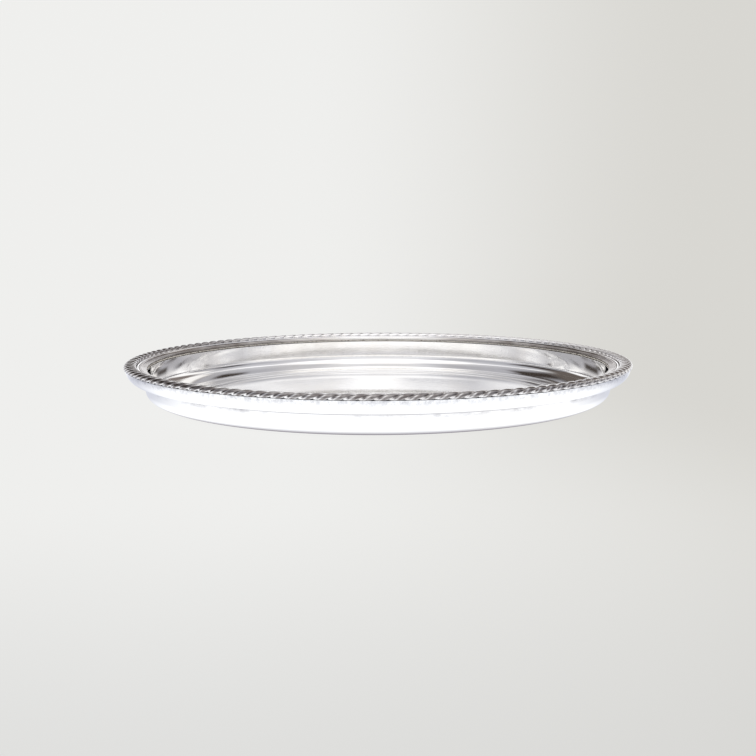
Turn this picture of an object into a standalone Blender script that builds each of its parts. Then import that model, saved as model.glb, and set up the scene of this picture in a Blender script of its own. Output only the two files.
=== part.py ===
"""Offering plate: a spun, silver-plated dish with a built-up rope-pattern border.

Metres, +Z up. The origin is the middle of the flat base, and the plate is turned
about the Z axis. Eight separate pieces are soldered together: the dish, the rope
border, the bead wire, the cove moulding, the under band, the solder inside the
border and the two seams that show.
"""

import math

import bmesh
import bpy

MM = 0.001

# Driving dimensions
PLATE_RADIUS = 152.4 * MM
PLATE_HEIGHT = 24.8 * MM
DISH_SHEET = 1.2 * MM
BAND_SHEET = 1.0 * MM
GAP = 0.3 * MM
ROPE_RIBS = 128
TURN_STEPS = 64

# Dish: a flat base, an elliptical corner, an upright wall and a turned-out flange
BASE_RADIUS = 0.802 * PLATE_RADIUS
WALL_RADIUS = 0.918 * PLATE_RADIUS
CORNER_HEIGHT = 0.340 * PLATE_HEIGHT
FLANGE_TOP = 0.782 * PLATE_HEIGHT
FLANGE_RADIUS = 0.974 * PLATE_RADIUS
FLANGE_FILLET = 1.2 * MM
RIDGE_RADII = (0.695 * PLATE_RADIUS, 0.750 * PLATE_RADIUS)
RIDGE_WIDTH = 2.6 * MM
RIDGE_HEIGHT = 0.45 * MM

# Rope border: slanting ribs on a half-round strip that laps over the plate's edge
ROPE_HALF_WIDTH = 3.85 * MM
ROPE_INNER_RADIUS = PLATE_RADIUS - 7.45 * MM
ROPE_BOTTOM = PLATE_HEIGHT - 2.9 * MM
ROPE_SIDE = PLATE_HEIGHT - 2.0 * MM
RIB_DEPTH = 0.55 * MM
RIB_TWIST = 1.3
RIB_SECTION_STEPS = (2, 3, 1)

# Bead wire and cove moulding, inside the rope
BEAD_WIRE_RADIUS = 0.55 * MM
BEAD_TOP = PLATE_HEIGHT - 1.95 * MM
BEAD_SIDES = 6
COVE_LIP_WIDTH = 0.6 * MM
COVE_LIP_TOP = PLATE_HEIGHT - 2.3 * MM
COVE_FOOT = PLATE_HEIGHT - 4.0 * MM
COVE_TOE = 0.3 * MM

# Under band: the smooth rolled shell below the rope
BAND_RADIUS = 0.993 * PLATE_RADIUS
BAND_INNER_RADIUS = 0.930 * PLATE_RADIUS
BAND_TOP = ROPE_BOTTOM - GAP
BAND_DEPTH = 0.327 * PLATE_HEIGHT

# Solder
OUTER_SEAM_HEIGHT = 1.3 * MM
INNER_SEAM_DEPTH = 2.4 * MM
SEAM_BULGE = 0.25 * MM


def clear_scene():
    for old in list(bpy.data.objects):
        bpy.data.objects.remove(old, do_unlink=True)


def metal(name, colour, roughness):
    """A bare metal with one colour and one roughness."""
    material = bpy.data.materials.new(name)
    material.use_nodes = True
    shader = material.node_tree.nodes["Principled BSDF"]
    shader.inputs["Base Color"].default_value = (*colour, 1.0)
    shader.inputs["Metallic"].default_value = 1.0
    shader.inputs["Roughness"].default_value = roughness
    return material


def arc(centre, semi_axes, start, end, steps):
    """Points along an ellipse, from the start angle to the end angle in degrees."""
    points = []
    for step in range(steps + 1):
        angle = math.radians(start + (end - start) * step / steps)
        r = centre[0] + semi_axes[0] * math.cos(angle)
        z = centre[1] + semi_axes[1] * math.sin(angle)
        points.append((r, z))
    return points


def new_object(name, mesh, material):
    piece = bpy.data.objects.new(name, mesh)
    bpy.context.scene.collection.objects.link(piece)
    mesh.materials.append(material)
    mesh.shade_smooth()
    mesh.set_sharp_from_angle(angle=math.radians(35))
    return piece


def turned(name, outline, closed, material):
    """Turns a (radius, height) outline about Z. The outline runs down its outer side."""
    mesh = bpy.data.meshes.new(name)
    edges = [(k, k + 1) for k in range(len(outline) - 1)]
    if closed:
        edges.append((len(outline) - 1, 0))
    mesh.from_pydata([(r, 0.0, z) for r, z in outline], edges, [])
    piece = new_object(name, mesh, material)
    screw = piece.modifiers.new("turn", "SCREW")
    screw.axis = "Z"
    screw.angle = math.tau
    screw.steps = TURN_STEPS
    screw.render_steps = TURN_STEPS
    screw.use_merge_vertices = True
    screw.merge_threshold = 0.00005
    screw.use_smooth_shade = True
    return piece


def ridges(radii, level):
    """One raised ring in the floor sheet for each radius, in the order given."""
    points = []
    outward = 1 if radii[-1] > radii[0] else -1
    for radius in radii:
        points.append((radius - outward * RIDGE_WIDTH / 2, level))
        points.append((radius, level + RIDGE_HEIGHT))
        points.append((radius + outward * RIDGE_WIDTH / 2, level))
    return points


def dish_body():
    """The spun pan: floor with two raised rings, corner, wall and flange."""
    corner_width = WALL_RADIUS - BASE_RADIUS
    corner_centre = (BASE_RADIUS, CORNER_HEIGHT)
    inner_axes = (corner_width - DISH_SHEET, CORNER_HEIGHT - DISH_SHEET)
    flange_under = FLANGE_TOP - DISH_SHEET
    fillet_centre = (WALL_RADIUS + FLANGE_FILLET, flange_under - FLANGE_FILLET)
    outline = [(0.0, DISH_SHEET)]
    outline += ridges(RIDGE_RADII, DISH_SHEET)
    outline += arc(corner_centre, inner_axes, -90, 0, 7)
    outline.append((WALL_RADIUS - DISH_SHEET, FLANGE_TOP))
    outline.append((FLANGE_RADIUS, FLANGE_TOP))
    outline.append((FLANGE_RADIUS, flange_under))
    outline += arc(fillet_centre, (FLANGE_FILLET, FLANGE_FILLET), 90, 180, 2)
    outline += arc(corner_centre, (corner_width, CORNER_HEIGHT), 0, -90, 7)
    outline += ridges(RIDGE_RADII[::-1], 0.0)
    outline.append((0.0, 0.0))
    silver = metal("silver_plate_dish", (0.95, 0.94, 0.92), 0.06)
    return turned("dish_body", outline, False, silver)


def under_band():
    """A quarter-round shell that curves in from below the rope to the wall."""
    centre = (BAND_INNER_RADIUS, BAND_TOP)
    outer_axes = (BAND_RADIUS - BAND_INNER_RADIUS, BAND_DEPTH)
    inner_axes = (outer_axes[0] - BAND_SHEET, outer_axes[1] - BAND_SHEET)
    outline = arc(centre, outer_axes, 0, -90, 6) + arc(centre, inner_axes, -90, 0, 5)
    silver = metal("silver_plate_band", (0.95, 0.94, 0.93), 0.08)
    return turned("under_band", outline, True, silver)


def cove_moulding():
    """The hollow moulding between the inner seam and the bead, rebated for the bead."""
    toe = WALL_RADIUS - DISH_SHEET + GAP
    outer = ROPE_INNER_RADIUS - GAP
    rebate = outer - 2 * BEAD_WIRE_RADIUS - GAP
    lip = rebate - COVE_LIP_WIDTH
    bead_seat = bead_centre()[1] - BEAD_WIRE_RADIUS - GAP
    hollow_centre = (toe, COVE_LIP_TOP)
    hollow_axes = (lip - toe, COVE_LIP_TOP - COVE_FOOT - COVE_TOE)
    outline = arc(hollow_centre, hollow_axes, -90, 0, 4)
    outline += [(rebate, COVE_LIP_TOP), (rebate, bead_seat), (outer, bead_seat)]
    outline += [(outer, COVE_FOOT), (toe, COVE_FOOT)]
    silver = metal("silver_plate_cove", (0.93, 0.92, 0.90), 0.12)
    return turned("cove_moulding", outline, True, silver)


def bead_centre():
    r = ROPE_INNER_RADIUS - GAP - BEAD_WIRE_RADIUS
    z = BEAD_TOP - BEAD_WIRE_RADIUS
    return r, z


def bead_wire():
    """A round wire beside the rope."""
    wire = (BEAD_WIRE_RADIUS, BEAD_WIRE_RADIUS)
    outline = arc(bead_centre(), wire, 90, -270, BEAD_SIDES)[:-1]
    silver = metal("silver_plate_bead", (0.95, 0.94, 0.92), 0.07)
    return turned("bead_wire", outline, True, silver)


def inner_solder_seam():
    """The rough seam that shows between the wall's top and the cove moulding."""
    face = WALL_RADIUS - DISH_SHEET
    low = FLANGE_TOP + GAP
    high = COVE_FOOT - GAP
    middle = (low + high) / 2
    back = face + INNER_SEAM_DEPTH
    outline = [(face + SEAM_BULGE, high), (back, high), (back, low)]
    outline += [(face + SEAM_BULGE, low), (face, middle)]
    solder = metal("tin_solder_inner", (0.78, 0.74, 0.68), 0.45)
    return turned("inner_solder_seam", outline, True, solder)


def outer_solder_seam():
    """The thin seam that closes the under band against the dish wall."""
    low = BAND_TOP - BAND_DEPTH
    inner = WALL_RADIUS + GAP
    outer = BAND_INNER_RADIUS - GAP
    outline = [(inner, low + OUTER_SEAM_HEIGHT), (outer, low + OUTER_SEAM_HEIGHT)]
    outline += [(outer, low + SEAM_BULGE), (inner, low - SEAM_BULGE)]
    solder = metal("tin_solder_outer", (0.62, 0.59, 0.56), 0.4)
    return turned("outer_solder_seam", outline, True, solder)


def solder_core():
    """The solder that fills the border: under the cove, under the rope and inside the band."""
    inner = WALL_RADIUS - DISH_SHEET + INNER_SEAM_DEPTH + GAP
    step = ROPE_INNER_RADIUS
    under_cove = COVE_FOOT - GAP
    bottom = FLANGE_TOP + GAP
    axes = (BAND_RADIUS - BAND_INNER_RADIUS, BAND_DEPTH)
    room = BAND_SHEET + GAP
    fill_axes = (axes[0] - room, axes[1] - room)
    low_angle = math.degrees(math.asin((bottom - BAND_TOP) / fill_axes[1]))
    outline = [(inner, under_cove), (step, under_cove), (step, BAND_TOP)]
    outline += arc((BAND_INNER_RADIUS, BAND_TOP), fill_axes, 0, low_angle, 2)
    outline.append((inner, bottom))
    solder = metal("tin_solder_core", (0.55, 0.55, 0.56), 0.55)
    return turned("solder_core", outline, True, solder)


def rope_section():
    """(radius, height, share of the way round) over the top of the rope's section."""
    centre = (PLATE_RADIUS - ROPE_HALF_WIDTH, ROPE_SIDE)
    axes = (ROPE_HALF_WIDTH, PLATE_HEIGHT - ROPE_SIDE)
    inner = 180 - math.degrees(math.acos((centre[0] - ROPE_INNER_RADIUS) / axes[0]))
    under = math.degrees(math.asin((ROPE_BOTTOM - ROPE_SIDE) / axes[1]))
    corners = (inner, 90, 0, under)
    points = []
    for start, end, steps in zip(corners, corners[1:], RIB_SECTION_STEPS):
        points += arc(centre, axes, start, end, steps)[len(points) > 0:]
    return [(r, z, k / (len(points) - 1)) for k, (r, z) in enumerate(points)]


def rope_border():
    """The rope: a ridge line and a groove line for each rib, slanting round the plate."""
    build = bmesh.new()
    pitch = math.tau / ROPE_RIBS
    middle = (PLATE_RADIUS - ROPE_HALF_WIDTH, ROPE_SIDE)
    rows = []
    for r, z, share in rope_section():
        sunk = RIB_DEPTH * math.sin(math.pi * share)
        reach = math.hypot(r - middle[0], z - middle[1])
        row = []
        for line in range(2 * ROPE_RIBS):
            angle = pitch * (line / 2 - RIB_TWIST * share)
            inward = sunk / reach * (line % 2)
            groove_r = r + (middle[0] - r) * inward
            groove_z = z + (middle[1] - z) * inward
            x = groove_r * math.cos(angle)
            y = groove_r * math.sin(angle)
            row.append(build.verts.new((x, y, groove_z)))
        rows.append(row)
    inner_foot = []
    for line in range(2 * ROPE_RIBS):
        angle = pitch * line / 2
        x = ROPE_INNER_RADIUS * math.cos(angle)
        y = ROPE_INNER_RADIUS * math.sin(angle)
        inner_foot.append(build.verts.new((x, y, ROPE_BOTTOM)))
    rows.append(inner_foot)
    for row, following in zip(rows, rows[1:] + rows[:1]):
        for k in range(len(row)):
            after = (k + 1) % len(row)
            build.faces.new((row[k], following[k], following[after], row[after]))
    bmesh.ops.recalc_face_normals(build, faces=build.faces)
    mesh = bpy.data.meshes.new("rope_border")
    build.to_mesh(mesh)
    build.free()
    silver = metal("silver_plate_rope", (0.90, 0.88, 0.85), 0.15)
    return new_object("rope_border", mesh, silver)


clear_scene()
dish_body()
under_band()
rope_border()
bead_wire()
cove_moulding()
solder_core()
inner_solder_seam()
outer_solder_seam()
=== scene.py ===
"""Looks of the offering plate: mirror-bright silver plate, photographed in a soft white tent."""

import math

import bpy
import numpy as np
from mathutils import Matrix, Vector, noise


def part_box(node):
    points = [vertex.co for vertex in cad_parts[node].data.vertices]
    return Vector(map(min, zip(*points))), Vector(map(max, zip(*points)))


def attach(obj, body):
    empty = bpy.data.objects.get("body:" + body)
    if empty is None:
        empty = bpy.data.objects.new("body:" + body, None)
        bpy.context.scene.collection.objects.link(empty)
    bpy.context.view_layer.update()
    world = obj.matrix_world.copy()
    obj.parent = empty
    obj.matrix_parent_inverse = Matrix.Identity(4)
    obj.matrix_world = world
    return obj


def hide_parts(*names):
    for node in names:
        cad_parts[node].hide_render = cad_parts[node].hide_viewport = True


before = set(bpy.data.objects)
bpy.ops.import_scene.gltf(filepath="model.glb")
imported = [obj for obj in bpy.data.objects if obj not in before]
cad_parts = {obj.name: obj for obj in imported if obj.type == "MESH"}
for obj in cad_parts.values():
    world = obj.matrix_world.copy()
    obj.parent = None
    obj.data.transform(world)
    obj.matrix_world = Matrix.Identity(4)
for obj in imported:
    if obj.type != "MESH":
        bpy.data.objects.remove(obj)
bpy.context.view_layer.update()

MM = 0.001

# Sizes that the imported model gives
ROPE_LOW, ROPE_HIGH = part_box("rope_border")
DISH_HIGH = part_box("dish_body")[1]
BAND_LOW, BAND_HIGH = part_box("under_band")
BEAD_LOW, BEAD_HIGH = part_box("bead_wire")
COVE_LOW, COVE_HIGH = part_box("cove_moulding")
INNER_SEAM_LOW, INNER_SEAM_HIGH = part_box("inner_solder_seam")
OUTER_SEAM_LOW, OUTER_SEAM_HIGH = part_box("outer_solder_seam")
PLATE_RADIUS = ROPE_HIGH.x
PLATE_HEIGHT = ROPE_HIGH.z

# Sizes inside the pieces, as in the CAD source
DISH_SHEET = 1.2 * MM
BAND_SHEET = 1.0 * MM
GAP = 0.3 * MM
BASE_RADIUS = 0.802 * PLATE_RADIUS
WALL_RADIUS = 0.918 * PLATE_RADIUS
CORNER_HEIGHT = 0.340 * PLATE_HEIGHT
FLANGE_FILLET = 1.2 * MM
RIDGE_RADII = (0.695 * PLATE_RADIUS, 0.750 * PLATE_RADIUS)
RIDGE_WIDTH = 2.6 * MM
RIDGE_HEIGHT = 0.45 * MM
BAND_INNER_RADIUS = 0.930 * PLATE_RADIUS
ROPE_RIBS = 128
ROPE_HALF_WIDTH = 3.85 * MM
ROPE_INNER_RADIUS = PLATE_RADIUS - 7.45 * MM
ROPE_SIDE = PLATE_HEIGHT - 2.0 * MM
RIB_DEPTH = 0.95 * MM
RIB_TIP_DEPTH = 0.50 * MM
RIB_TWIST = 1.3
COVE_LIP_WIDTH = 0.6 * MM
COVE_TOE = 0.3 * MM
SEAM_BULGE = 0.25 * MM

# How finely the pieces are drawn
TURN_STEPS = 512
SEAM_STEPS = 1536
RIB_SAMPLES = 16
SECTION_SAMPLES = 25

# Where the photograph was taken from, in degrees and, for the lens, millimetres
CAMERA_DISTANCE = 4.5 * PLATE_RADIUS
CAMERA_HEIGHT = 0.7066 * PLATE_RADIUS
CAMERA_TILT = 7.98
CAMERA_ROLL = -0.2
SENSOR_WIDTH = 36.0
LENS = 53.67

# The stage. The floor lies just under the plate, and the tent's table just above its underside.
FLOOR_LEVEL = -0.2 * MM
TABLE_LEVEL = 0.4 * MM
TENT_RADIUS = 1.6

# Colours
CLEAN = (0.96, 0.955, 0.945)
WARM = (0.80, 0.74, 0.66)
TENT_WHITE = (1.22, 1.22, 1.24)
TENT_PANELS = (
    # colour, azimuth, half width, lowest, highest, soft edge at the sides, and above and below
    ((0.80, 0.80, 0.83), 0, 62, 13, 60, 20, 5),
    ((0.62, 0.62, 0.66), -82, 48, 12, 66, 14, 5),
    ((0.62, 0.62, 0.66), 85, 48, 12, 66, 14, 5),
    ((0.46, 0.46, 0.50), -98, 50, 10, 56, 12, 10),
    ((0.46, 0.46, 0.50), 110, 42, 10, 50, 12, 10),
    ((0.13, 0.11, 0.10), -150, 22, 13, 42, 5, 5),
    ((0.22, 0.19, 0.18), 150, 24, 12, 38, 5, 5),
    ((0.62, 0.61, 0.62), 180, 10, 20, 50, 6, 5),
    ((1.10, 1.10, 1.12), -139, 9, 9, 21, 4, 4),
    ((1.05, 1.04, 1.04), 137, 9, 9, 41, 4, 3),
    ((0.05, 0.04, 0.035), -112, 19, 25, 43, 6, 6),
    ((0.05, 0.04, 0.035), 100, 11, 24, 38, 5, 5),
    ((0.07, 0.06, 0.055), -108, 16, 11, 18, 4, 3),
    ((0.07, 0.06, 0.055), 113, 12, 11, 17, 4, 3),
    ((1.24, 1.24, 1.26), 0, 181, 2.5, 8.5, 1, 1.2),
    ((0.40, 0.40, 0.45), 0, 30, 3, 7.7, 28, 0.6),
    ((0.56, 0.56, 0.60), 40, 26, 7.8, 9.3, 12, 0.6),
    ((0.44, 0.44, 0.48), -40, 26, 7.8, 9.3, 12, 0.6),
    ((0.35, 0.34, 0.38), 180, 6, 10, 22, 3, 1.5),
)
TABLE_LIGHT = (1.20, 1.22, 1.26)
TABLE_SIDE_LIGHT = (0.70, 0.72, 0.80)
# The table's glow next to the plate's foot is dimmed: a painted contact shadow.
PAINTED_CONTACT_SHADOW = (0.30, 0.28, 0.32)


# ---------------------------------------------------------------- shapes

def arc(centre, semi_axes, start, end, steps):
    """Points along an ellipse, from the start angle to the end angle in degrees."""
    angles = np.radians(np.linspace(start, end, steps + 1))
    r = centre[0] + semi_axes[0] * np.cos(angles)
    z = centre[1] + semi_axes[1] * np.sin(angles)
    return list(zip(r, z))


def rows_to_mesh(name, rows, closed_section):
    """Joins rows of points, each row a ring round Z, into one mesh. A one-point row is a pole."""
    points, starts = [], []
    for row in rows:
        starts.append(len(points))
        points += [tuple(p) for p in row]
    faces = []
    last = len(rows) if closed_section else len(rows) - 1
    for k in range(last):
        following = (k + 1) % len(rows)
        here, there = starts[k], starts[following]
        steps = max(len(rows[k]), len(rows[following]))
        for j in range(steps):
            after = (j + 1) % steps
            if len(rows[k]) == 1:
                faces.append((here, there + j, there + after))
            elif len(rows[following]) == 1:
                faces.append((here + j, there, here + after))
            else:
                faces.append((here + j, there + j, there + after, here + after))
    mesh = bpy.data.meshes.new(name)
    mesh.from_pydata(points, [], faces)
    mesh.update()
    mesh.shade_smooth()
    mesh.set_sharp_from_angle(angle=math.radians(40))
    piece = bpy.data.objects.new(name, mesh)
    bpy.context.scene.collection.objects.link(piece)
    return piece


def turned(name, outline, closed, steps=TURN_STEPS, shift=None):
    """Turns a (radius, height) outline about Z. shift moves each point, by angle, radius and height."""
    angles = np.linspace(0, math.tau, steps, endpoint=False)
    rows = []
    for r, z in outline:
        if r == 0:
            rows.append([(0.0, 0.0, z)])
            continue
        ring_r, ring_z = np.full(steps, r), np.full(steps, z)
        if shift:
            ring_r, ring_z = shift(angles, ring_r, ring_z)
        rows.append(np.stack([ring_r * np.cos(angles), ring_r * np.sin(angles), ring_z], 1))
    return rows_to_mesh(name, rows, closed)


def ridge(radius, level, outward):
    """A round-topped ring in the floor sheet."""
    across = np.linspace(-1, 1, 13)
    lift = RIDGE_HEIGHT * (1 + np.cos(math.pi * across)) / 2
    return [(radius + outward * u * RIDGE_WIDTH / 2, level + h) for u, h in zip(across, lift)]


def spun_floor(angles, r, z):
    """The small unevenness of a spun sheet: faint rings and a slow swell, on the inside only."""
    inside = np.clip((z - 0.5 * DISH_SHEET) / (0.5 * DISH_SHEET), 0, 1) * (r < BASE_RADIUS)
    rings = 0.004 * MM * np.sin(math.tau * r / (7.5 * MM))
    swell = 0.05 * MM * np.sin(2 * angles + 40 * r) * (r / BASE_RADIUS) ** 2
    return r, z + inside * (rings + swell)


def make_dish():
    width = WALL_RADIUS - BASE_RADIUS
    corner = (BASE_RADIUS, CORNER_HEIGHT)
    flange_top = DISH_HIGH.z
    flange_under = flange_top - DISH_SHEET
    face = WALL_RADIUS - DISH_SHEET
    fillet = (WALL_RADIUS + FLANGE_FILLET, flange_under - FLANGE_FILLET)
    lip = 0.15 * MM
    floor_rings = np.linspace(0, RIDGE_RADII[0] - RIDGE_WIDTH, 40)
    outline = [(r, DISH_SHEET) for r in floor_rings]
    for radius in RIDGE_RADII:
        outline += ridge(radius, DISH_SHEET, 1)
    floor_edge = np.linspace(RIDGE_RADII[1] + RIDGE_WIDTH, BASE_RADIUS, 6)[:-1]
    outline += [(r, DISH_SHEET) for r in floor_edge]
    outline += arc(corner, (width - DISH_SHEET, CORNER_HEIGHT - DISH_SHEET), -90, 0, 32)
    outline += [(face, z) for z in np.linspace(CORNER_HEIGHT, flange_top - lip, 8)[1:]]
    outline += arc((face + lip, flange_top - lip), (lip, lip), 180, 90, 3)
    outline += [(DISH_HIGH.x, flange_top), (DISH_HIGH.x, flange_under)]
    outline += arc(fillet, (FLANGE_FILLET, FLANGE_FILLET), 90, 180, 6)
    outline += arc(corner, (width, CORNER_HEIGHT), 0, -90, 32)
    for radius in RIDGE_RADII[::-1]:
        outline += ridge(radius, 0.0, -1)
    outline.append((0, 0.0))
    return turned("spun_dish", outline, False, shift=spun_floor)


def make_band():
    centre = (BAND_INNER_RADIUS, BAND_HIGH.z)
    outer = (BAND_HIGH.x - BAND_INNER_RADIUS, BAND_HIGH.z - BAND_LOW.z)
    inner = (outer[0] - BAND_SHEET, outer[1] - BAND_SHEET)
    outline = arc(centre, outer, 0, -90, 28) + arc(centre, inner, -90, 0, 10)
    return turned("rolled_under_band", outline, True)


def make_cove():
    toe = WALL_RADIUS - DISH_SHEET + GAP
    outer = COVE_HIGH.x
    rebate = BEAD_HIGH.x - (BEAD_HIGH.z - BEAD_LOW.z) - GAP
    lip = rebate - COVE_LIP_WIDTH
    seat = BEAD_LOW.z - GAP
    round_edge = 0.12 * MM
    hollow = (lip - toe, COVE_HIGH.z - COVE_LOW.z - COVE_TOE)
    outline = arc((toe, COVE_HIGH.z), hollow, -90, -6, 20)
    outline += arc((lip + round_edge, COVE_HIGH.z - round_edge), (round_edge,) * 2, 180, 90, 3)
    outline += arc((rebate - round_edge, COVE_HIGH.z - round_edge), (round_edge,) * 2, 90, 0, 3)
    outline += [(rebate, seat), (outer, seat), (outer, COVE_LOW.z), (toe, COVE_LOW.z)]
    return turned("hollow_cove", outline, True)


def make_bead():
    radius = (BEAD_HIGH.z - BEAD_LOW.z) / 2
    centre = (BEAD_HIGH.x - radius, BEAD_LOW.z + radius)
    return turned("bead_line", arc(centre, (radius, radius), 90, -270, 20)[:-1], True)


def lumps(size, depth, seed):
    """A shift that makes a solder surface uneven, in and out by at most depth."""
    def shift(angles, r, z):
        out = np.empty(len(angles))
        for k, angle in enumerate(angles):
            at = Vector((r[k] * math.cos(angle), r[k] * math.sin(angle), z[k])) / size
            out[k] = noise.noise(at + Vector((seed, 0, 0))) * 0.6
            out[k] += noise.noise(at * 2.7 + Vector((0, seed, 0))) * 0.4
        return r + depth * out, z
    return shift


def make_inner_seam():
    face = WALL_RADIUS - DISH_SHEET
    low, high = INNER_SEAM_LOW.z, INNER_SEAM_HIGH.z
    middle = (low + high) / 2
    centre = (face + 2 * SEAM_BULGE, middle)
    outline = [(INNER_SEAM_HIGH.x, high), (INNER_SEAM_HIGH.x, low)]
    outline += arc(centre, (1.6 * SEAM_BULGE, (high - low) / 2), 270, 90, 8)
    return turned("pitted_inner_seam", outline, True, SEAM_STEPS, lumps(0.9 * MM, 0.12 * MM, 3.0))


def make_outer_seam():
    inner = WALL_RADIUS + GAP
    low, high = OUTER_SEAM_LOW.z, OUTER_SEAM_HIGH.z
    outline = [(inner, high), (OUTER_SEAM_HIGH.x, high), (OUTER_SEAM_HIGH.x, low + 2 * SEAM_BULGE)]
    outline += [(inner + 0.4 * (OUTER_SEAM_HIGH.x - inner), low + SEAM_BULGE), (inner, low)]
    return turned("stained_outer_seam", outline, True, SEAM_STEPS, lumps(1.4 * MM, 0.05 * MM, 9.0))


def smooth(low, high, value):
    """0 below low, 1 above high, and a smooth step between them."""
    t = np.clip((value - low) / (high - low), 0, 1)
    return t * t * (3 - 2 * t)


def make_rope():
    """Slanting gadroon ribs: arched across, deeper towards their rounded lower tips."""
    steps = ROPE_RIBS * RIB_SAMPLES
    pitch = math.tau / ROPE_RIBS
    centre = np.array([PLATE_RADIUS - ROPE_HALF_WIDTH, ROPE_SIDE])
    axes = np.array([ROPE_HALF_WIDTH, PLATE_HEIGHT - ROPE_SIDE])
    inner = math.pi - math.acos((centre[0] - ROPE_INNER_RADIUS) / axes[0])
    under = math.asin((ROPE_LOW.z - ROPE_SIDE) / axes[1])
    across = (np.arange(steps) % RIB_SAMPLES) / RIB_SAMPLES * 2 - 1
    hollow = 1 - np.sqrt(1 - (0.985 * across) ** 2)
    turn = math.tau * np.arange(steps) / steps
    rows, grooves, lobes = [], [], []
    for share in np.linspace(0, 1, SECTION_SAMPLES):
        angle = inner + (under - inner) * share
        arm = axes * (math.cos(angle), math.sin(angle))
        depth = RIB_DEPTH * (0.3 + 0.7 * smooth(0, 0.35, share))
        depth += RIB_TIP_DEPTH * smooth(0.75, 1, share)
        left = 1 - depth * hollow / np.hypot(*arm)
        r = centre[0] + arm[0] * left
        z = centre[1] + arm[1] * left
        around = turn - pitch * RIB_TWIST * share
        rows.append(np.stack([r * np.cos(around), r * np.sin(around), z], 1))
        tip = smooth(0.6, 1, share)
        # On the plate's front the inner faces of the ribs are kept free of the painted dark reflection, so
        # they show bright as if lit.
        rubbing_and_lit_face = np.clip(-np.sin(around), 0, 1) * (1 - smooth(0.36, 0.5, share))
        # The groove mask darkens the hollows between the ribs: tarnish and painted shade.
        grooves.append(hollow / hollow.max() * (1 - smooth(0.7, 0.85, share)) * (1 - rubbing_and_lit_face))
        # A light streak down each rib's lower part, cut out of the painted dark: a painted highlight.
        painted_highlight_streak = np.exp(-((across + 0.3) / 0.16) ** 2) * smooth(0.5, 0.7, share)
        edge = 1.2 - 0.7 * tip
        lobe = (1 - smooth(edge - 0.15, edge + 0.15, np.abs(across))) * (1 - 0.75 * painted_highlight_streak)
        lobes.append(lobe * (1 - rubbing_and_lit_face))
    foot = np.stack([ROPE_INNER_RADIUS * np.cos(turn), ROPE_INNER_RADIUS * np.sin(turn),
                     np.full(steps, ROPE_LOW.z)], 1)
    rows.append(foot)
    grooves.append(np.ones(steps))
    lobes.append(np.zeros(steps))
    piece = rows_to_mesh("rope_ribs", rows, True)
    for name, values in (("groove", grooves), ("lobe", lobes)):
        attribute = piece.data.attributes.new(name, "FLOAT", "POINT")
        attribute.data.foreach_set("value", np.concatenate(values).astype(np.float32))
    return piece


# ---------------------------------------------------------------- materials

class Nodes:
    """Short calls for building one material's node tree."""

    def __init__(self, name):
        self.material = bpy.data.materials.new(name)
        self.material.use_nodes = True
        self.tree = self.material.node_tree
        self.shader = self.tree.nodes["Principled BSDF"]

    def link(self, source, target):
        self.tree.links.new(source, target)

    def add(self, kind, **settings):
        node = self.tree.nodes.new(kind)
        for key, value in settings.items():
            setattr(node, key, value)
        return node

    def math(self, operation, a, b=None):
        node = self.add("ShaderNodeMath", operation=operation)
        for socket, value in zip(node.inputs, (a, b)):
            if value is None:
                continue
            if isinstance(value, (int, float)):
                socket.default_value = value
            else:
                self.link(value, socket)
        return node.outputs[0]

    def position(self):
        return self.add("ShaderNodeTexCoord").outputs["Object"]

    def axes(self):
        """The place's x, y and z, in metres from the plate's middle."""
        split = self.add("ShaderNodeSeparateXYZ")
        self.link(self.position(), split.inputs[0])
        return split.outputs

    def radius(self, x, y):
        """The distance from the plate's axis."""
        return self.math("SQRT", self.math("ADD", self.math("MULTIPLY", x, x),
                                           self.math("MULTIPLY", y, y)))

    def around(self, along, across):
        """Coordinates that run round the plate: stretched along the turn, fine across it."""
        x, y, z = self.axes()
        radius = self.radius(x, y)
        angle = self.math("ARCTAN2", y, x)
        joined = self.add("ShaderNodeCombineXYZ")
        self.link(self.math("MULTIPLY", radius, across), joined.inputs[0])
        self.link(self.math("MULTIPLY", angle, along), joined.inputs[1])
        self.link(self.math("MULTIPLY", z, across), joined.inputs[2])
        return joined.outputs[0]

    def noise(self, vector, scale, detail=3.0, roughness=0.55, distortion=0.0):
        node = self.add("ShaderNodeTexNoise")
        self.link(vector, node.inputs["Vector"])
        node.inputs["Scale"].default_value = scale
        node.inputs["Detail"].default_value = detail
        node.inputs["Roughness"].default_value = roughness
        node.inputs["Distortion"].default_value = distortion
        return node.outputs["Fac"]

    def spread(self, value, from_low, from_high, to_low, to_high, kind="LINEAR"):
        node = self.add("ShaderNodeMapRange", interpolation_type=kind)
        self.link(value, node.inputs["Value"])
        for key, number in zip(("From Min", "From Max", "To Min", "To Max"),
                               (from_low, from_high, to_low, to_high)):
            node.inputs[key].default_value = number
        return node.outputs["Result"]

    def mix(self, share, first, second):
        """A colour between first and second, each a colour or a socket."""
        node = self.add("ShaderNodeMix", data_type="RGBA")
        self.link(share, node.inputs["Factor"])
        for socket, value in ((node.inputs["A"], first), (node.inputs["B"], second)):
            if isinstance(value, tuple):
                socket.default_value = (*value, 1.0)
            else:
                self.link(value, socket)
        return node.outputs["Result"]

    def cover(self, share, colour):
        """Lays a colour over the base colour that the shader already has."""
        base = self.shader.inputs["Base Color"]
        self.link(self.mix(share, base.links[0].from_socket, colour), base)

    def bumps(self, layers):
        """Stacks (height, distance in metres, strength) layers into the shader's normal."""
        normal = None
        for height, distance, strength in layers:
            bump = self.add("ShaderNodeBump")
            bump.inputs["Strength"].default_value = strength
            bump.inputs["Distance"].default_value = distance
            self.link(height, bump.inputs["Height"])
            if normal:
                self.link(normal, bump.inputs["Normal"])
            normal = bump.outputs["Normal"]
        self.link(normal, self.shader.inputs["Normal"])


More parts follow.
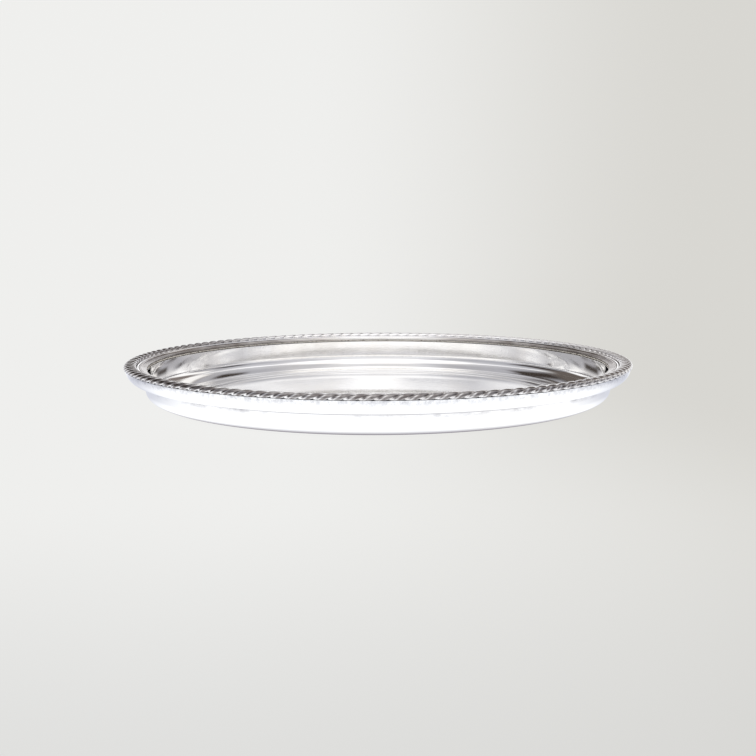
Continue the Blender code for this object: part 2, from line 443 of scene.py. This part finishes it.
def silver(name, clean, tarnish, tarnish_share, rough, waviness):
    """Polished silver plate: clean and tarnished tones, fine rubbing marks and turning lines."""
    n = Nodes(name)
    n.shader.inputs["Metallic"].default_value = 1.0
    spot = n.position()
    cloud = n.noise(spot, 22.0, 4.0, 0.6)
    film = n.spread(cloud, 0.45, 0.75, 0.0, tarnish_share)
    turning = n.noise(n.around(2.5, 2600.0), 1.0, 2.0)
    rubbing_and_lit_face = n.noise(n.around(60.0, 700.0), 1.0, 5.0, 0.7, 0.6)
    n.link(n.mix(film, clean, tarnish), n.shader.inputs["Base Color"])
    worn = n.math("ADD", n.spread(rubbing_and_lit_face, 0.35, 0.7, rough, 2.2 * rough),
                  n.spread(cloud, 0.5, 0.8, 0.0, rough))
    n.link(worn, n.shader.inputs["Roughness"])
    swell = n.noise(spot, 38.0, 2.0, 0.5)
    n.bumps([(swell, waviness * MM, 1.0), (turning, 0.002 * MM, 1.0),
             (rubbing_and_lit_face, 0.004 * MM, 1.0)])
    return n


def rope_silver():
    """The rope's silver. A dark cover lies on the backs of the ribs, most at the front and the left: partly
    tarnish, partly painted dark reflection. The grooves are darkened by tarnish and painted shade, more at
    the front.
    """
    n = silver("silver_rope", (0.95, 0.94, 0.93), (0.62, 0.57, 0.53), 0.35, 0.07, 0.05)
    x, y, _ = n.axes()
    front_or_left = n.math("MAXIMUM", n.spread(y, -0.02, 0.07, 1.0, 0.0),
                           n.spread(x, -0.11, -0.065, 0.9, 0.0))
    amount = n.math("MULTIPLY", front_or_left, n.spread(x, 0.09, 0.14, 1.0, 0.45))
    patches = n.spread(n.noise(n.position(), 260.0, 3.0), 0.3, 0.6, 0.7, 1.0)
    lobe = n.add("ShaderNodeAttribute", attribute_name="lobe").outputs["Fac"]
    groove = n.add("ShaderNodeAttribute", attribute_name="groove").outputs["Fac"]
    # Dark on the backs of the ribs, strongest at the front and the left: partly tarnish, partly painted dark
    # reflection.
    tarnish_and_dark_reflection = n.math("MULTIPLY", n.math("MULTIPLY", lobe, amount), patches)
    # Dark in the grooves, stronger at the front: tarnish in the hollows and painted shade.
    groove_tarnish_and_shade = n.math("MULTIPLY", n.spread(groove, 0.15, 0.7, 0.0, 0.85),
                  n.spread(y, 0.0, 0.1, 1.0, 0.4))
    n.cover(n.math("MAXIMUM", tarnish_and_dark_reflection, groove_tarnish_and_shade), (0.17, 0.15, 0.145))
    return n.material


def cove_silver():
    """The cove's silver, darker in patches towards the plate's left and right ends: painted dark reflection
    of the tent's dark sides.
    """
    n = silver("silver_cove", (0.90, 0.89, 0.87), (0.60, 0.54, 0.48), 0.5, 0.09, 0.05)
    x, _, _ = n.axes()
    # Painted dark reflection, stronger towards the plate's left and right ends, laid on in patches.
    ends_dark_reflection = n.spread(n.math("ABSOLUTE", x), 0.03, 0.09, 0.0, 0.95)
    patches = n.spread(n.noise(n.around(9.0, 120.0), 1.0, 3.0), 0.3, 0.6, 0.6, 1.0)
    n.cover(n.math("MULTIPLY", ends_dark_reflection, patches), (0.20, 0.165, 0.145))
    return n.material


def bead_silver():
    """The bead's silver, which stands proud and so stays bright."""
    return silver("silver_bead", CLEAN, WARM, 0.3, 0.05, 0.02).material


def dish_silver():
    """The dish's silver, with a grey line of old solder and polish just under the band."""
    n = silver("silver_dish", CLEAN, WARM, 0.25, 0.035, 0.03)
    x, y, z = n.axes()
    outside = n.math("GREATER_THAN", n.radius(x, y), WALL_RADIUS - DISH_SHEET / 2)
    foot = OUTER_SEAM_LOW.z
    line = n.spread(z, foot - 0.9 * MM, foot - 0.4 * MM, 0.0, 0.8)
    smear = n.spread(z, foot - 3.0 * MM, foot, 0.0, 1.0)
    clouds = n.spread(n.noise(n.around(9.0, 160.0), 1.0, 4.0, 0.65), 0.45, 0.65, 0.0, 1.0)
    both = n.math("MAXIMUM", line, n.math("MULTIPLY", smear, clouds))
    n.cover(n.math("MULTIPLY", both, outside), (0.32, 0.31, 0.33))
    return n.material


def band_silver():
    """The band's silver, greyed in flecks just under the rope: painted shade of the rope's overhang."""
    n = silver("silver_band", CLEAN, (0.78, 0.78, 0.80), 0.3, 0.05, 0.03)
    _, _, z = n.axes()
    # Painted shade under the rope's overhang, broken into flecks.
    near = n.spread(z, BAND_HIGH.z - 4.0 * MM, BAND_HIGH.z, 0.0, 1.0)
    flecks = n.spread(n.noise(n.around(60.0, 500.0), 1.0, 4.0, 0.65), 0.42, 0.62, 0.25, 1.0)
    n.cover(n.math("MULTIPLY", near, flecks), (0.52, 0.52, 0.54))
    return n.material


def solder(name, bare, stain, stain_low, stain_high, grain):
    """Tin solder: dull, pitted and stained."""
    n = Nodes(name)
    n.shader.inputs["Metallic"].default_value = 0.85
    pits = n.noise(n.position(), grain, 5.0, 0.65, 0.4)
    stains = n.noise(n.around(14.0, 220.0), 1.0, 4.0, 0.6)
    both = n.math("MULTIPLY", n.spread(pits, stain_low, stain_high, 0.0, 1.0),
                  n.spread(stains, 0.3, 0.6, 0.45, 1.0))
    n.link(n.mix(both, bare, stain), n.shader.inputs["Base Color"])
    n.link(n.spread(pits, 0.3, 0.7, 0.28, 0.6), n.shader.inputs["Roughness"])
    n.bumps([(pits, 0.12 * MM, 1.0), (stains, 0.03 * MM, 1.0)])
    return n.material


def inner_seam_solder():
    """Cream-coloured solder with dark pits."""
    return solder("seam_inside", (0.86, 0.82, 0.74), (0.20, 0.16, 0.13), 0.5, 0.62, 900.0)


def outer_seam_solder():
    """Grey solder with near-black stains."""
    return solder("seam_outside", (0.45, 0.44, 0.45), (0.12, 0.11, 0.11), 0.42, 0.6, 500.0)


def core_solder():
    """The plain grey fill, which is out of sight."""
    return solder("core_fill", (0.82, 0.82, 0.83), (0.5, 0.5, 0.5), 0.4, 0.7, 300.0)


# ---------------------------------------------------------------- stage

def stage_material():
    """A pale board with its own light, which is painted: darker and warmer to the plate's right and dimmer
    in front of it, as a soft light falling off.
    """
    n = Nodes("pale_board")
    n.shader.inputs["Roughness"].default_value = 0.9
    n.shader.inputs["Specular IOR Level"].default_value = 0.0
    n.shader.inputs["Base Color"].default_value = (0.02, 0.02, 0.02, 1.0)
    n.shader.inputs["Emission Strength"].default_value = 0.97
    x, y, _ = n.axes()
    sideways = n.math("DIVIDE", x, n.math("ADD", n.radius(x, y), 0.5))
    right = n.spread(sideways, -0.08, 0.30, 0.0, 1.0, "SMOOTHSTEP")
    tone = n.mix(right, (0.88, 0.88, 0.865), (0.70, 0.69, 0.655))
    front = n.spread(y, -0.25, -0.60, 0.0, 0.20, "SMOOTHSTEP")
    n.link(n.mix(front, tone, (0.0, 0.0, 0.0)), n.shader.inputs["Emission Color"])
    return n.material


def make_sweep():
    """The floor, which curves up into a wall all the way round."""
    floor_radius, curve, top = 2.4, 1.2, 3.2
    outline = [(r, FLOOR_LEVEL) for r in (0, 0.3, 0.8, 1.5)]
    outline += arc((floor_radius, curve), (curve, curve - FLOOR_LEVEL), -90, 0, 24)
    outline.append((floor_radius + curve, top))
    sweep = turned("sweep", outline, False, steps=96)
    sweep.data.materials.append(stage_material())


def panel(azimuth, elevation, centre, half_width, low, high, side, edge):
    """The share of a tent panel at each place: 1 on it, 0 off it, and soft at its edges. Degrees."""
    off = np.abs((azimuth - centre + 180) % 360 - 180)
    beside = 1 - smooth(half_width - side, half_width + side, off)
    over_low = smooth(low - edge, low + edge, elevation)
    under_high = 1 - smooth(high - edge, high + edge, elevation)
    return beside * over_low * under_high


def tent_light(azimuth, elevation):
    """What the silver mirrors, by direction from the plate. Azimuth 0 is the camera's side, 90 the right."""
    light = np.ones((len(azimuth), 3)) * TENT_WHITE
    for colour, *where in TENT_PANELS:
        share = panel(azimuth, elevation, *where)[:, None]
        light = light * (1 - share) + np.array(colour) * share
    return light


def make_tent():
    """A tent that only reflections see: a white table round the plate, with a painted contact shadow at the
    plate's foot, and a dome with panels.
    """
    contact = BASE_RADIUS + 0.4 * MM
    table_inner = BASE_RADIUS + 14.0 * MM
    table = [(contact, TABLE_LEVEL), (table_inner - 6.0 * MM, TABLE_LEVEL)]
    table += [(r, TABLE_LEVEL) for r in np.geomspace(table_inner, TENT_RADIUS, 14)]
    dome = arc((0, TABLE_LEVEL), (TENT_RADIUS, TENT_RADIUS), 0, 90, 180)[1:-1]
    outline = table + dome + [(0, TENT_RADIUS)]
    tent = turned("tent", outline, False, steps=360)
    points = np.array([v.co for v in tent.data.vertices])
    azimuth = np.degrees(np.arctan2(points[:, 0], -points[:, 1]))
    flat = np.hypot(points[:, 0], points[:, 1])
    elevation = np.degrees(np.arctan2(points[:, 2], flat))
    light = tent_light(azimuth, elevation)
    on_table = (points[:, 2] < 1.0 * MM) & (flat < TENT_RADIUS * 0.99)
    side = smooth(50, 88, 90 - np.abs(np.abs(azimuth) - 90))[:, None]
    table_light = np.array(TABLE_LIGHT) * (1 - side) + np.array(TABLE_SIDE_LIGHT) * side
    light[on_table] = table_light[on_table]
    # Next to the plate's foot the table glows dimly: a painted contact shadow.
    light[on_table & (flat < table_inner - 5.0 * MM)] = PAINTED_CONTACT_SHADOW
    opaque = np.hstack([light, np.ones((len(light), 1))]).astype(np.float32)
    tone = tent.data.attributes.new("light", "FLOAT_COLOR", "POINT")
    tone.data.foreach_set("color", opaque.ravel())
    material = bpy.data.materials.new("tent_light")
    material.use_nodes = True
    tree = material.node_tree
    tree.nodes.remove(tree.nodes["Principled BSDF"])
    colour = tree.nodes.new("ShaderNodeAttribute")
    colour.attribute_name = "light"
    glow = tree.nodes.new("ShaderNodeEmission")
    tree.links.new(colour.outputs["Color"], glow.inputs["Color"])
    tree.links.new(glow.outputs[0], tree.nodes["Material Output"].inputs["Surface"])
    tent.data.materials.append(material)
    for way in ("camera", "diffuse", "transmission", "volume_scatter", "shadow"):
        setattr(tent, "visible_" + way, False)


def make_world():
    world = bpy.data.worlds.new("soft_room")
    world.use_nodes = True
    sky = world.node_tree.nodes["Background"]
    sky.inputs["Color"].default_value = (1.0, 0.995, 0.985, 1.0)
    sky.inputs["Strength"].default_value = 0.24
    world.cycles_visibility.glossy = False
    bpy.context.scene.world = world
    bpy.context.scene.view_settings.view_transform = "Standard"


def make_camera():
    """Where the photograph was taken from: low over the plate's front, looking a little down."""
    data = bpy.data.cameras.new("camera")
    data.sensor_width = SENSOR_WIDTH
    data.lens = LENS
    data.clip_start = 0.01
    camera = bpy.data.objects.new("camera", data)
    bpy.context.scene.collection.objects.link(camera)
    camera.location = (0, -CAMERA_DISTANCE, CAMERA_HEIGHT)
    camera.rotation_euler = (math.radians(90 - CAMERA_TILT), 0, 0)
    camera.rotation_euler.rotate_axis("Z", math.radians(CAMERA_ROLL))
    bpy.context.scene.camera = camera


# ---------------------------------------------------------------- the plate

def place(piece, material, node):
    """Gives a piece its material and puts it in the place of its CAD node."""
    piece.data.materials.append(material)
    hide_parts(node)
    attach(piece, "root")


place(make_dish(), dish_silver(), "dish_body")
place(make_band(), band_silver(), "under_band")
place(make_cove(), cove_silver(), "cove_moulding")
place(make_bead(), bead_silver(), "bead_wire")
place(make_rope(), rope_silver(), "rope_border")
place(make_inner_seam(), inner_seam_solder(), "inner_solder_seam")
place(make_outer_seam(), outer_seam_solder(), "outer_solder_seam")

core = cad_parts["solder_core"]
core.data.materials.clear()
core.data.materials.append(core_solder())

make_sweep()
make_tent()
make_world()
make_camera()
